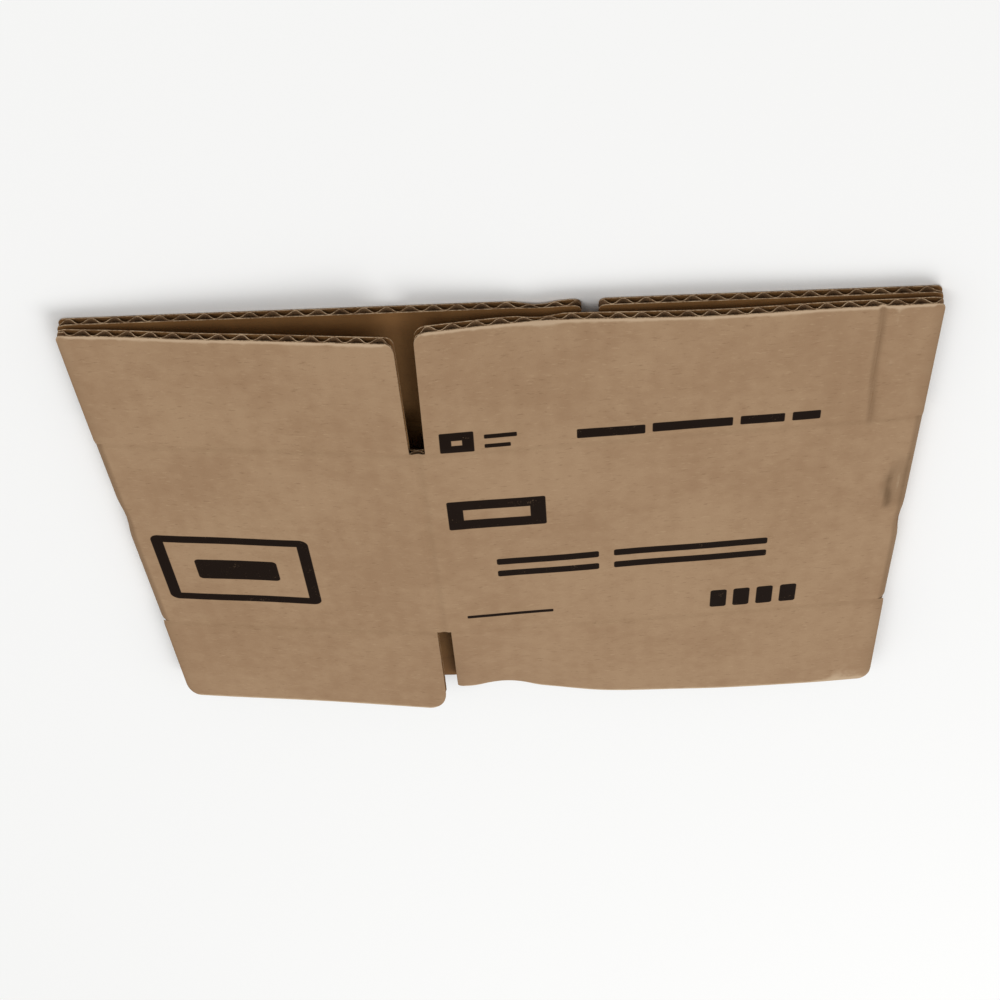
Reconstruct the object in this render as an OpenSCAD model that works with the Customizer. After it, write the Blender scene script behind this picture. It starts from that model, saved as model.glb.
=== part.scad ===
// Slotted carton of corrugated board, folded flat along two of its four corner scores.
// It lies on its seam side: X runs across the four panels, Y along the flutes, Z is up.
// The front corner score isn't folded, so it springs up a little between its two panels.
// The origin is the middle of the underside. All sizes are in millimetres.

/* [Carton] */
// Long panel, score to score
box_l = 155; // [130:1:220]
// Short panel, score to score
box_w = 101; // [80:1:120]
// Height of the panels, between the flap scores
box_h = 106; // [80:1:200]
// Length of a flap, from its score to its cut edge
flap_len = 52; // [40:1:75]
// Rounding of a flap's worn outer corners
flap_corner_r = 2; // [1:0.5:4]

/* [Board] */
// Thickness of the corrugated board
board_t = 3; // [2.6:0.1:4]
// Thickness of each flat liner
liner_t = 0.3; // [0.2:0.05:0.4]
// Thickness of the fluted medium
medium_t = 0.25; // [0.2:0.05:0.4]
// Pitch of the flutes
flute_pitch = 6.7; // [6:0.1:9]

/* [Slots and scores] */
// Width of the slots between neighbouring flaps
slot_w = 5; // [3:0.5:8]
// How far the outer flap edges stand in from the folded edges
fold_setback = 0.5; // [0.5:0.5:4]
// Width of a score's groove
score_w = 3; // [2:0.5:5]
// Depth of a score's groove
score_d = 0.5; // [0.3:0.1:0.8]
// Thickness of the board where it is crushed round a folded edge
fold_wall = 2.2; // [1.5:0.1:2.6]

/* [Glued seam] */
// Width of the glue tab, from the seam
tab_w = 32; // [20:1:40]
// Thickness of the glue tab, with its flutes crushed
tab_t = 1.3; // [1:0.1:1.8]
// How far each end of the glue tab stops short of the flap scores
tab_inset = 3; // [1:1:8]
// Open gap along the seam
seam_gap = 2; // [1:0.5:4]
// Room between the glue tab and the front panels
tab_clearance = 0.3; // [0.2:0.1:0.6]

/* [Lie of the front] */
// Height that the front corner score springs up
corner_rise = 8.5; // [0:0.5:10]
// Lift of the short panel's top flap, in degrees
short_top_lift = 0.5; // [-1:0.5:12]
// Lift of the short panel's bottom flap, in degrees
short_bottom_lift = 0.5; // [-1:0.5:12]
// Lift of the long panel's top flap, in degrees
long_top_lift = -1; // [-1.5:0.5:12]
// Lift of the long panel's bottom flap, in degrees
long_bottom_lift = -1; // [-1.5:0.5:12]

/* [Edge dents] */
// Depth of the dents pressed into the edges
dent_d = 1.2; // [0.4:0.2:2]
// Length of each dent along its edge
dent_l = 20; // [10:1:24]
// Place of the dents in the top flap edges, from the left fold
top_dent_x = 141; // [120:1:145]
// Place of the dents in the bottom flap edges, from the left fold
bottom_dent_x = 125; // [120:1:145]
// Place of the dent in the left folded edge, above the bottom flap scores
left_dent_y = 65; // [30:1:70]
// Place of the dent in the right folded edge, above the bottom flap scores
right_dent_y = 49; // [30:1:70]

/* [Hidden] */

$fn = 48;
over = 1;                                     // how far cuts run past a face
wave_steps = 6;                               // straight stretches along one flute
root_len = score_w;                           // crushed board beside a flap's score
flat_w = box_l + box_w;                       // overall width, fold to fold
inner_gap = tab_t + tab_clearance;            // between the back and front panels
front_z = board_t + inner_gap;                // inner face of the front panels
flat_t = 2 * board_t + inner_gap;             // thickness of the folded carton
left_x = -flat_w / 2;                         // left folded edge
corner_x = left_x + box_w;                    // unfolded corner score of the front panels
seam_x = left_x + box_l;                      // seam of the back panels
fold_x = left_x + board_t;                    // where the left fold meets its front panel
short_run = box_w - board_t;                  // front panels, from their folds to the corner
long_run = box_l - board_t;
short_slope = atan(corner_rise / short_run);
long_slope = atan(corner_rise / long_run);
score_r = (pow(score_w / 2, 2) + pow(score_d, 2)) / (2 * score_d);
score_end = (slot_w + score_w) / 4;           // where flap grooves stop, beside the corner's
dent_r = (pow(dent_l / 2, 2) + pow(dent_d, 2)) / (2 * dent_d);
wave_a = (board_t - liner_t - medium_t) / 2;  // flute height, sunk half into each liner

kraft = [0.64, 0.52, 0.40];

// Height of the medium's middle line at a distance along the board, flat at each crest
function wave_z(x) = board_t / 2 + wave_a * sin(360 * x / flute_pitch) / sin(360 / wave_steps);

// Slanting stretches of the medium are thicker along Z than across the sheet
function wave_half(x) =
    let (slope = wave_a * cos(360 * x / flute_pitch) * 2 * PI / flute_pitch)
    medium_t / 2 * sqrt(1 + slope * slope);

// Liner, fluted medium and liner, as cut across the flutes
module board_section(width) {
    step = flute_pitch / wave_steps;
    xs = concat([for (x = [0 : step : width - step / 4]) x], [width]);
    square([width, liner_t]);
    translate([0, board_t - liner_t])
        square([width, liner_t]);
    polygon(concat(
        [for (x = xs) [x, wave_z(x) - wave_half(x)]],
        [for (i = [len(xs) - 1 : -1 : 0]) [xs[i], wave_z(xs[i]) + wave_half(xs[i])]]
    ));
}

// Outline of one flap from its score at y 0, with worn corners and a dent in its cut edge
module flap_outline(width, dent_at) {
    difference() {
        union() {
            translate([0, -over])
                square([width, flap_len + over - flap_corner_r]);
            translate([flap_corner_r, 0])
                square([width - 2 * flap_corner_r, flap_len]);
            for (x = [flap_corner_r, width - flap_corner_r])
                translate([x, flap_len - flap_corner_r])
                    circle(r = flap_corner_r);
        }
        translate([dent_at, flap_len + dent_r - dent_d])
            circle(r = dent_r);
    }
}

// One flap with open flutes at its cut edge, lifted about the middle of its score
module flap(width, lift, dent_at) {
    translate([0, 0, board_t / 2])
        rotate([lift, 0, 0])
            translate([0, 0, -board_t / 2]) {
                intersection() {
                    union() {
                        cube([width, root_len, board_t]);
                        translate([0, flap_len, 0])
                            rotate([90, 0, 0])
                                linear_extrude(flap_len - root_len)
                                    board_section(width);
                    }
                    translate([0, 0, -over])
                        linear_extrude(board_t + 2 * over)
                            flap_outline(width, dent_at);
                }
                translate([0, 0, board_t / 2])
                    rotate([0, 90, 0])
                        cylinder(r = board_t / 2 - score_d, h = width);
            }
}

// Frame of the short front panel: X along the panel from its fold, Z out of it
module on_short_panel() {
    translate([fold_x, 0, front_z])
        rotate([0, -short_slope, 0])
            children();
}

// Frame of the long front panel: X along the panel towards its fold, Z out of it
module on_long_panel() {
    translate([-fold_x, 0, front_z])
        rotate([0, long_slope, 0])
            children();
}

// All four flaps at the +Y end, with a slot between the two of each layer
module flap_set(short_lift, long_lift, dent_at) {
    dent_x = left_x + dent_at;
    trim = fold_setback + slot_w / 2;
    fold_edge = left_x + fold_setback;
    corner_edge = corner_x + slot_w / 2;
    seam_edge = seam_x + slot_w / 2;
    translate([0, box_h / 2, 0]) {
        translate([fold_edge, 0, 0])
            flap(box_l - trim, 0, dent_x - fold_edge);
        translate([seam_edge, 0, 0])
            flap(box_w - trim, 0, dent_x - seam_edge);
        on_short_panel()
            translate([fold_edge - fold_x, 0, 0])
                flap(box_w - trim, short_lift, dent_x - fold_edge);
        on_long_panel()
            translate([slot_w / 2 - long_run, 0, 0])
                flap(box_l - trim, long_lift, dent_x - corner_edge);
    }
}

// Flat tube of the four panels, cut across the flutes
module panel_section() {
    difference() {
        union() {
            polygon([
                [fold_x, 0], [-fold_x, 0], [-fold_x, flat_t],
                [corner_x, flat_t + corner_rise], [fold_x, flat_t]
            ]);
            translate([left_x, board_t])
                square([flat_w, inner_gap]);
            for (x = [fold_x, -fold_x], z = [board_t, front_z])
                translate([x, z])
                    circle(r = board_t);
        }
        polygon([
            [left_x + fold_wall, board_t], [-left_x - fold_wall, board_t],
            [-left_x - fold_wall, front_z], [-fold_x, front_z],
            [corner_x, front_z + corner_rise],
            [fold_x, front_z], [left_x + fold_wall, front_z]
        ]);
        translate([seam_x - seam_gap / 2, -over])
            square([seam_gap, board_t + inner_gap / 2 + over]);
    }
}

// Strip that hangs on the long back panel, crosses the seam and is glued inside the short one
module glue_tab() {
    root = seam_gap / 2 + board_t;
    bevel = tab_w / 4;
    half = box_h / 2 - tab_inset;
    translate([seam_x, 0, board_t])
        linear_extrude(tab_t)
            polygon([
                [-root, -half], [0, -half], [tab_w, bevel - half],
                [tab_w, half - bevel], [0, half], [-root, half]
            ]);
}

// One groove along X, pressed down from a face at z 0
module groove(length) {
    translate([0, 0, score_r - score_d])
        rotate([0, 90, 0])
            cylinder(r = score_r, h = length);
}

// Grooves along the flap scores of both layers and along the front corner
module scores() {
    for (y = [-box_h / 2, box_h / 2]) {
        translate([left_x - over, y, 0])
            rotate([180, 0, 0])
                groove(flat_w + 2 * over);
        on_short_panel()
            translate([-board_t - over, y, board_t])
                groove(box_w + over - score_end);
        on_long_panel()
            translate([score_end - long_run, y, board_t])
                groove(box_l + over - score_end);
    }
    translate([corner_x, -box_h / 2 - over, flat_t + corner_rise])
        rotate([0, 0, 90])
            groove(box_h + 2 * over);
}

// Dents in the folded edges at both sides
module fold_dents() {
    reach = flat_w / 2 + dent_r - dent_d;
    for (place = [[-reach, left_dent_y], [reach, right_dent_y]])
        translate([place.x, place.y - box_h / 2, -over])
            cylinder(r = dent_r, h = flat_t + 2 * over);
}

module flattened_box() {
    color(kraft)
        difference() {
            union() {
                rotate([90, 0, 0])
                    linear_extrude(box_h, center = true)
                        panel_section();
                glue_tab();
                flap_set(short_top_lift, long_top_lift, top_dent_x);
                mirror([0, 1, 0])
                    flap_set(short_bottom_lift, long_bottom_lift, bottom_dent_x);
            }
            scores();
            fold_dents();
        }
}

flattened_box();
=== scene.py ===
"""Slotted carton of corrugated kraft board, folded flat and lying on its seam side."""

import logging
import math
from dataclasses import dataclass, field
from enum import IntEnum
from typing import Any

import bpy
import numpy as np
from mathutils import Matrix, Vector


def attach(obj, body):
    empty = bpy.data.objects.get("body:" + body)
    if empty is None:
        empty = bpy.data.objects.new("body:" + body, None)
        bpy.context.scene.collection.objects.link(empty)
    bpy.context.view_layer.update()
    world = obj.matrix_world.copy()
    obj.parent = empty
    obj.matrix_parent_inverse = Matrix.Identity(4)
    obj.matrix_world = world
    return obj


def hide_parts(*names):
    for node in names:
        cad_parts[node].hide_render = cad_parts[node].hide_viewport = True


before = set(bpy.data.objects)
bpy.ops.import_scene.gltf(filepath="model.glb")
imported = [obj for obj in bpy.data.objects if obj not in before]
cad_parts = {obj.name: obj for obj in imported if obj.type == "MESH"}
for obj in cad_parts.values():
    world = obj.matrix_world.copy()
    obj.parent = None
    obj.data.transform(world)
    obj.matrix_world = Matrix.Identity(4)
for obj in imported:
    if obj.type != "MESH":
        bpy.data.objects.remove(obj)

LOG = logging.getLogger("carton")
MM = 0.001
SHEET_ATTRIBUTE = "sheet"
WEAR_ATTRIBUTE = "wear"
# Mesh mark of painted shade: the scores, creases, crushed strip and folds are coloured darker, where
# shade falls in them.
PAINTED_SHADE_ATTRIBUTE = "crease"
BAKE_MAP = "OFBake"
BAKE_PIXELS = 1024
RIM_PIXELS = 1.6
SHARP_ANGLE = 38.0
CLEAR_SHARE = 0.3
NEAR = 0.01
TINY = 1e-6

Array = np.ndarray
Colour = tuple[float, float, float]
Place = tuple[float, float, float]


def bump(t: Array) -> Array:
    """Smooth hill of height 1 at t 0 that ends at t -1 and 1."""
    return np.clip(1.0 - t * t, 0.0, None) ** 2


def ease(t: Array) -> Array:
    """Smooth step from 0 at t 0 to 1 at t 1."""
    t = np.clip(t, 0.0, 1.0)
    return t * t * (3.0 - 2.0 * t)


def smooth_path(t: Array, places: tuple[float, ...], values: tuple[float, ...]) -> Array:
    """Smooth curve through a few points.

    Args:
        t: Places to take the curve at.
        places: Places of the points, in rising order.
        values: Values of the points.

    Returns:
        Values of the curve, held beyond its ends.
    """
    xs, ys = np.array(places), np.array(values)
    slopes = np.gradient(ys, xs)
    left = np.clip(np.searchsorted(xs, t) - 1, 0, len(xs) - 2)
    span = xs[left + 1] - xs[left]
    u = np.clip((t - xs[left]) / span, 0.0, 1.0)
    v = 1.0 - u
    ends = v * v * (1.0 + 2.0 * u) * ys[left] + u * u * (1.0 + 2.0 * v) * ys[left + 1]
    return ends + u * v * span * (v * slopes[left] - u * slopes[left + 1])


def spread(regular: Array, fixed: set[float], step: float) -> Array:
    """Join regular places to fixed ones.

    Args:
        regular: Places about a step apart.
        fixed: Places that are all kept.
        step: Distance between the regular places.

    Returns:
        Sorted places, without the regular ones that crowd a fixed one.
    """
    pins = np.array(sorted(fixed))
    clear = np.abs(regular[:, None] - pins[None, :]).min(axis=1) > CLEAR_SHARE * step
    return np.array(sorted(set(regular[clear]) | fixed))


def linear(*display: int) -> Colour:
    """Turn a display colour, three channels of 0 to 255, into a linear one."""
    shares = (channel / 255.0 for channel in display)
    return tuple(
        share / 12.92 if share <= 0.04045 else ((share + 0.055) / 1.055) ** 2.4 for share in shares)


class Zone(IntEnum):
    """Stretches of the folded board, in order round the flat tube."""

    FRONT = 0
    RIGHT_FOLD = 1
    BACK = 2
    LEFT_FOLD = 3


class FlapSide(IntEnum):
    """Sides of the front flaps, from left to right."""

    SHORT_FOLD = 0
    SHORT_SLOT = 1
    LONG_SLOT = 2
    LONG_FOLD = 3


class Skin(IntEnum):
    """Material slots of the board."""

    FACE = 0
    INSIDE = 1
    EDGE = 2
    FLUTE = 3


@dataclass(frozen=True)
class Spots:
    """Points on the developed board: their zone, place along it and height up the board."""

    zone: Array
    along: Array
    y: Array

    @property
    def front(self) -> Array:
        """Which points are on the front layer."""
        return self.zone == Zone.FRONT

    @property
    def layer(self) -> Array:
        """Which points are on the front or the back layer, and not round a fold."""
        return self.front | (self.zone == Zone.BACK)


@dataclass(frozen=True)
class Ripple:
    """Gentle unevenness, as a seeded sum of plane waves."""

    amount: float
    shortest: float
    longest: float
    seed: int
    waves: int = 9

    def at(self, x: Array, y: Array) -> Array:
        """Height of the ripple.

        Args:
            x: Places across the board, in millimetres.
            y: Places along the board, in millimetres.

        Returns:
            Heights of about plus or minus the amount.
        """
        chance = np.random.default_rng(self.seed)
        total = np.zeros(np.broadcast(x, y).shape)
        for _ in range(self.waves):
            turn = chance.uniform(0.0, math.tau)
            step = math.tau / chance.uniform(self.shortest, self.longest)
            shift = chance.uniform(0.0, math.tau)
            total = total + np.sin(step * (x * math.cos(turn) + y * math.sin(turn)) + shift)
        return total * self.amount / math.sqrt(self.waves)


@dataclass(frozen=True)
class FlapLie:
    """How far a flap's cut edge stands off the plane of its panel, and leans along it.

    Places run from 0 at the slot to 1 at the folded edge. The lean is that at the slot.
    """

    places: tuple[float, ...]
    offsets: tuple[float, ...]
    lean: float = 0.0
    lean_fade: float = 1.7

    def offset(self, from_slot: Array) -> Array:
        """Offset of the cut edge, part of the way from the slot to the fold."""
        return smooth_path(from_slot, self.places, self.offsets)

    def shift(self, from_slot: Array) -> Array:
        """Lean of the cut edge, which fades from the slot to the fold."""
        return self.lean * np.clip(1.0 - from_slot, 0.0, 1.0) ** self.lean_fade


@dataclass(frozen=True)
class WornCorner:
    """Front flap corner that is worn rounder than the others; end is 1 at the top, -1 below."""

    side: FlapSide
    end: int
    across: float
    up: float


@dataclass(frozen=True)
class EdgeDent:
    """Shallow dent that is pressed into one edge of both layers."""

    middle: float
    half: float
    depth: float
    reach: float = 6.0

    def shape(self, along: Array) -> Array:
        """Share of the full depth at a place along the edge."""
        return bump((along - self.middle) / self.half)

    def push(self, along: Array, inward: Array) -> Array:
        """How far points are pushed in, by their place along the edge and distance from it."""
        return self.depth * self.shape(along) * np.exp(-inward / self.reach)


@dataclass(frozen=True)
class Band:
    """Stretch up the board that fades in at its low end and out at its high end."""

    low: float
    high: float
    low_fade: float
    high_fade: float

    def share(self, y: Array) -> Array:
        """Share of the band at a height."""
        return ease((y - self.low) / self.low_fade) * ease((self.high - y) / self.high_fade)


@dataclass(frozen=True)
class CrushedStrip:
    """Crushed strip on the front beside the right fold, with a wavy line of painted shade along it.

    Distances are measured in from the fold line.
    """

    span: Band = Band(3.0, 36.0, 5.0, 9.0)
    width: float = 3.4
    fade: float = 1.8
    line_span: Band = Band(3.0, 36.0, 5.0, 22.0)
    line_place: float = 3.7
    line_half: float = 2.1
    line_wave: float = 0.4
    line_step: float = 4.0

    def share(self, inset: Array, y: Array) -> Array:
        """Share of the strip at a distance in from the fold line and a height."""
        return self.span.share(y) * ease((self.width - inset) / self.fade)

    def line(self, inset: Array, y: Array) -> Array:
        """Share of the line of painted shade at a distance in from the fold line and a height."""
        place = self.line_place - self.line_wave * np.sin(y / self.line_step)
        return bump((inset - place) / self.line_half) * self.line_span.share(y)


@dataclass(frozen=True)
class FlapCrease:
    """Crease that runs down the long top flap near the right fold, and is rubbed beside it.

    The place is where its line would cross the middle height of the carton.
    """

    place: float = 237.79
    slant: float = -0.03
    wave: float = 0.3
    wave_step: float = 7.0
    half: float = 1.5
    low: float = 49.0
    fade: float = 6.0
    rub: float = 0.8
    rub_place: float = 239.6
    rub_half: float = 2.2
    rub_fade: float = 10.0
    columns: tuple[float, float, int] = (233.3, 237.5, 7)

    def share(self, along: Array, y: Array) -> Array:
        """Share of the crease at a place along the front and a height."""
        line = self.place + self.slant * y + self.wave * np.sin(y / self.wave_step)
        return bump((along - line) / self.half) * ease((y - self.low) / self.fade)

    def rubbed(self, along: Array, y: Array) -> Array:
        """Share of the rubbed band beside the crease."""
        across = bump((along - self.rub_place) / self.rub_half)
        return self.rub * across * ease((y - self.low) / self.rub_fade)


@dataclass(frozen=True)
class RubbedPatch:
    """Oval patch of the front that is rubbed pale."""

    along: float
    y: float
    half_along: float
    half_y: float
    amount: float

    def share(self, along: Array, y: Array) -> Array:
        """Share of the patch at a place along the front and a height."""
        across = bump((along - self.along) / self.half_along)
        return self.amount * across * bump((y - self.y) / self.half_y)


@dataclass(frozen=True)
class Pressing:
    """How deep each feature is pressed into one face of the board, and the most in all."""

    score: float
    corner: float
    edge: float
    dent: float
    most: float
    rib: float = 0.0
    strip: float = 0.0
    crease: float = 0.0
    fold: float = 0.0


@dataclass(frozen=True)
class PressReach:
    """How far pressed features reach: a score in half widths of its groove, the rest in lengths."""

    score: float = 1.3
    edge: float = 0.9
    fold: float = 2.5
    dent: float = 2.2


@dataclass(frozen=True)
class Rubbing:
    """How far the edges, the dents and the patches are rubbed pale, and how that fades."""

    edge_fade: float = 0.7
    side_width: float = 3.0
    side_share: float = 0.35
    band: float = 0.45
    band_fade: float = 2.5
    dent: float = 0.4
    dent_fade: float = 2.0
    patch: float = 0.5


@dataclass(frozen=True)
class PaintedShading:
    """How dark the painted shade is in the scores, round the folds and in the creases, and the most in
    all.
    """

    score: float = 0.1
    score_reach: float = 1.2
    corner: float = 0.16
    line: float = 1.9
    # How much lighter the painted shade round a fold is where the fold faces sideways.
    fold_light: float = 0.35
    side: float = 0.7
    side_fade: float = 1.6
    strip: float = 0.6
    crease: float = 0.75
    most: float = 2.2


@dataclass(frozen=True)
class Chart:
    """Place of one side of the board on the baked image: its low left corner and its scale.

    Places are in pixels, and the scale in pixels for each millimetre.
    """

    left: float
    low: float
    scale: float

    def at(self, across: Array, up: Array) -> Array:
        """Pixels of places that are measured from the chart's low left corner."""
        return np.stack([self.left + self.scale * across, self.low + self.scale * up], axis=-1)


@dataclass(frozen=True)
class SideCharts:
    """Charts of one side of the board: the front with both folds, and the back."""

    front: Chart
    back: Chart


def rim_quads(cells: Array, places: Array, count: int) -> tuple[Array, Array]:
    """Close a sheet along its open edges.

    Args:
        cells: Quads of the outer side.
        places: Pixels of the corners of those quads.
        count: Number of points on one side; the inner side's points follow the outer ones.

    Returns:
        Quads between the two sides, and pixels for their corners just outside the chart.
    """
    starts, ends = cells.ravel(), np.roll(cells, -1, axis=1).ravel()
    rim = ~np.isin(starts * count + ends, ends * count + starts)
    starts, ends = starts[rim], ends[rim]
    first = places.reshape(-1, 2)[rim]
    last = np.roll(places, -1, axis=1).reshape(-1, 2)[rim]
    way = last - first
    out = np.stack([way[:, 1], -way[:, 0]], axis=1)
    out = RIM_PIXELS * out / np.maximum(np.linalg.norm(out, axis=1, keepdims=True), TINY)
    quads = np.stack([ends, starts, starts + count, ends + count], axis=1)
    return quads, np.stack([last, first, first + out, last + out], axis=1)


@dataclass
class Grid:
    """Columns and rows of points on the developed board, and the cells between them.

    A column is a zone and a place along it. Flap rows leave out the folds and the slots.
    """

    zone: Array
    along: Array
    rows: Array
    cells: Array

    def spots(self) -> Spots:
        """Every grid point, column by column."""
        wide, tall = len(self.along), len(self.rows)
        return Spots(np.repeat(self.zone, tall), np.repeat(self.along, tall), np.tile(self.rows, wide))


@dataclass
class MeshStore:
    """Points, faces and marks that become one Blender mesh."""

    points: list[Array] = field(default_factory=list)
    marks: list[Array] = field(default_factory=list)
    faces: list[tuple[Array, Array, Array]] = field(default_factory=list)
    count: int = 0

    def add(self, points: Array, marks: Array, faces: list[tuple[Array, Array, Skin]]) -> None:
        """Add one closed shell.

        Args:
            points: Point positions, in millimetres.
            marks: Sheet place, wear and painted shade of each point, five numbers each.
            faces: Quads as rows of point numbers, the pixels of their corners, and their skin.
        """
        for quads, places, skin in faces:
            self.faces.append((quads + self.count, places, np.full(len(quads), int(skin))))
        self.points.append(points)
        self.marks.append(marks)
        self.count += len(points)

    def build(self, name: str, materials: list[bpy.types.Material]) -> bpy.types.Object:
        """Make the mesh object.

        Args:
            name: Name of the object.
            materials: One material for each skin, in order.

        Returns:
            The new object, linked to the scene.
        """
        points, marks = np.concatenate(self.points), np.concatenate(self.marks)
        quads, pixels, skins = (np.concatenate(part) for part in zip(*self.faces))
        used, flat = np.unique(quads.ravel(), return_inverse=True)
        points, marks, quads = points[used], marks[used], flat.reshape(-1, 4)
        mesh = bpy.data.meshes.new(name)
        mesh.from_pydata(points * MM, [], quads, shade_flat=False)
        mesh.polygons.foreach_set("material_index", skins.astype(np.int32))
        for material in materials:
            mesh.materials.append(material)
        layout = mesh.uv_layers.new(name=BAKE_MAP)
        layout.uv.foreach_set("vector", (pixels / BAKE_PIXELS).astype(np.float32).ravel())
        mesh.validate()
        sheet = mesh.attributes.new(SHEET_ATTRIBUTE, "FLOAT_VECTOR", "POINT")
        sheet.data.foreach_set("vector", marks[:, :3].astype(np.float32).ravel())
        for place, label in ((3, WEAR_ATTRIBUTE), (4, PAINTED_SHADE_ATTRIBUTE)):
            layer = mesh.attributes.new(label, "FLOAT", "POINT")
            layer.data.foreach_set("value", marks[:, place].astype(np.float32))
        mesh.set_sharp_from_angle(angle=math.radians(SHARP_ANGLE))
        made = bpy.data.objects.new(name, mesh)
        bpy.context.scene.collection.objects.link(made)
        return made


SMALL_CHARTS = [
    SideCharts(Chart(left, low, 0.42), Chart(left + 120, low, 0.42))
    for low in (800, 900) for left in (530, 770)]
OUTER_CHARTS = (SideCharts(Chart(8, 8, 2.7), Chart(8, 590, 1.95)), SMALL_CHARTS[0])
FLUTE_CHARTS = (SMALL_CHARTS[1], SMALL_CHARTS[2])
INNER_CHARTS = (SMALL_CHARTS[3], SideCharts(Chart(756, 8, 0.94), Chart(756, 220, 0.94)))
TAB_CHARTS = (Chart(530, 600, 1.6), Chart(600, 600, 1.6))


@dataclass(frozen=True)
class Carton:
    """Flattened carton: four panels, eight flaps, two folds and a glued seam.

    Lengths are in millimetres. Places along the front and the back are measured from the
    left and the right fold line, so the front corner and the seam have the same place.
    """

    long_panel: float = 155.0
    short_panel: float = 101.0
    panel_height: float = 106.0
    flap_length: float = 52.0
    board: float = 3.0
    liner: float = 0.35
    medium: float = 0.25
    medium_sunk: float = 0.4
    pitch: float = 6.7
    crest_firmness: float = 0.6
    slot: float = 5.0
    setback: float = 0.5
    seam_gap: float = 2.0
    score_half: float = 1.5
    layer_gap: float = 1.6
    corner_rise: float = 8.5
    corner_round: float = 0.15
    flap_corner: float = 2.0
    fold_rim: float = 0.5
    worn_corners: tuple[WornCorner, ...] = (
        WornCorner(FlapSide.SHORT_FOLD, -1, 4.2, 8.0),
        WornCorner(FlapSide.SHORT_SLOT, 1, 2.2, 4.0),
        WornCorner(FlapSide.SHORT_SLOT, -1, 7.2, 11.5),
        WornCorner(FlapSide.LONG_SLOT, 1, 3.4, 4.6),
        WornCorner(FlapSide.LONG_FOLD, -1, 4.4, 6.5),
    )
    tab_width: float = 32.0
    tab_thickness: float = 1.28
    tab_inset: float = 3.0
    tab_lift: float = 0.02
    tab_tip: float = 0.3
    tab_rows: int = 13
    short_top: FlapLie = FlapLie((0.0, 0.5, 1.0), (-0.9, -0.7, -0.4))
    short_bottom: FlapLie = FlapLie((0.0, 0.5, 1.0), (1.7, 1.2, 0.8))
    long_top: FlapLie = FlapLie(
        (0.0, 0.25, 0.45, 0.6, 0.8, 1.0), (-4.3, -5.9, -3.8, -2.2, -1.6, -0.3), 0.8)
    long_bottom: FlapLie = FlapLie(
        (0.0, 0.18, 0.37, 0.57, 0.8, 1.0), (-8.2, -6.4, -1.4, 0.6, 2.0, 2.1), -1.4)
    top_dent: EdgeDent = EdgeDent(12.0, 8.0, 0.8)
    bottom_dent: EdgeDent = EdgeDent(-7.0, 14.0, 1.9)
    left_dent: EdgeDent = EdgeDent(11.0, 11.0, 0.8)
    right_dent: EdgeDent = EdgeDent(-4.0, 10.0, 0.7)
    strip: CrushedStrip = CrushedStrip()
    crease: FlapCrease = FlapCrease()
    patches: tuple[RubbedPatch, ...] = (
        RubbedPatch(243.0, -100.0, 14.0, 16.0, 1.0),
        RubbedPatch(249.1, 17.0, 1.1, 14.0, 1.3),
    )
    outer_press: Pressing = Pressing(
        score=0.4, corner=0.4, edge=0.16, dent=0.8, most=1.2, rib=0.018, strip=0.5, crease=0.8)
    inner_press: Pressing = Pressing(
        score=0.35, corner=0.25, edge=0.1, dent=0.48, most=1.1, fold=0.8)
    press_reach: PressReach = PressReach()
    rubbing: Rubbing = Rubbing()
    painted_shading: PaintedShading = PaintedShading()
    sag: Ripple = Ripple(0.16, 34.0, 95.0, 11)
    sag_margin: float = 22.0
    sag_at_fold: float = 0.3
    wander: Ripple = Ripple(0.5, 60.0, 160.0, 23)
    wander_stretch: float = 0.3
    store: MeshStore = field(default_factory=MeshStore)

    @property
    def fold_line(self) -> float:
        """Distance of the fold lines from the middle."""
        return (self.long_panel + self.short_panel) / 2.0 - self.board

    @property
    def run(self) -> float:
        """Flat length of a layer, between its fold lines."""
        return 2.0 * self.fold_line

    @property
    def corner(self) -> float:
        """Place of the front corner score, and of the seam, along its layer."""
        return self.short_panel - self.board

    @property
    def score(self) -> float:
        """Height of the flap scores above and below the middle."""
        return self.panel_height / 2.0

    @property
    def top(self) -> float:
        """Height of the cut edges above and below the middle."""
        return self.score + self.flap_length

    @property
    def wing(self) -> float:
        """How far the flaps reach past the fold lines."""
        return self.board - self.setback

    @property
    def fold_length(self) -> float:
        """Length of the board's outer face round one fold."""
        return math.pi * self.board + self.layer_gap

    def front_profile(self, along: Array) -> Array:
        """Rise of the front's outer face between its folds, with a softened corner."""
        sides = np.array([along / self.corner, (self.run - along) / (self.run - self.corner)])
        return -self.corner_round * np.logaddexp(*(-self.corner_rise * sides / self.corner_round))

    def right_fold(self, along: Array) -> Array:
        """Outer face round the right fold, from the front to the back.

        Args:
            along: Distance from the front's fold line.

        Returns:
            Rows of X, Z and the outward normal's X and Z.
        """
        arc = math.pi / 2.0 * self.board
        first = np.clip(along, 0.0, arc) / self.board
        middle = np.clip(along - arc, 0.0, self.layer_gap)
        last = np.clip(along - arc - self.layer_gap, 0.0, arc) / self.board
        nx, nz = np.sin(first + last), np.cos(first + last)
        z = self.board + self.layer_gap - middle + self.board * nz
        return np.stack([self.fold_line + self.board * nx, z, nx, nz])

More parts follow.
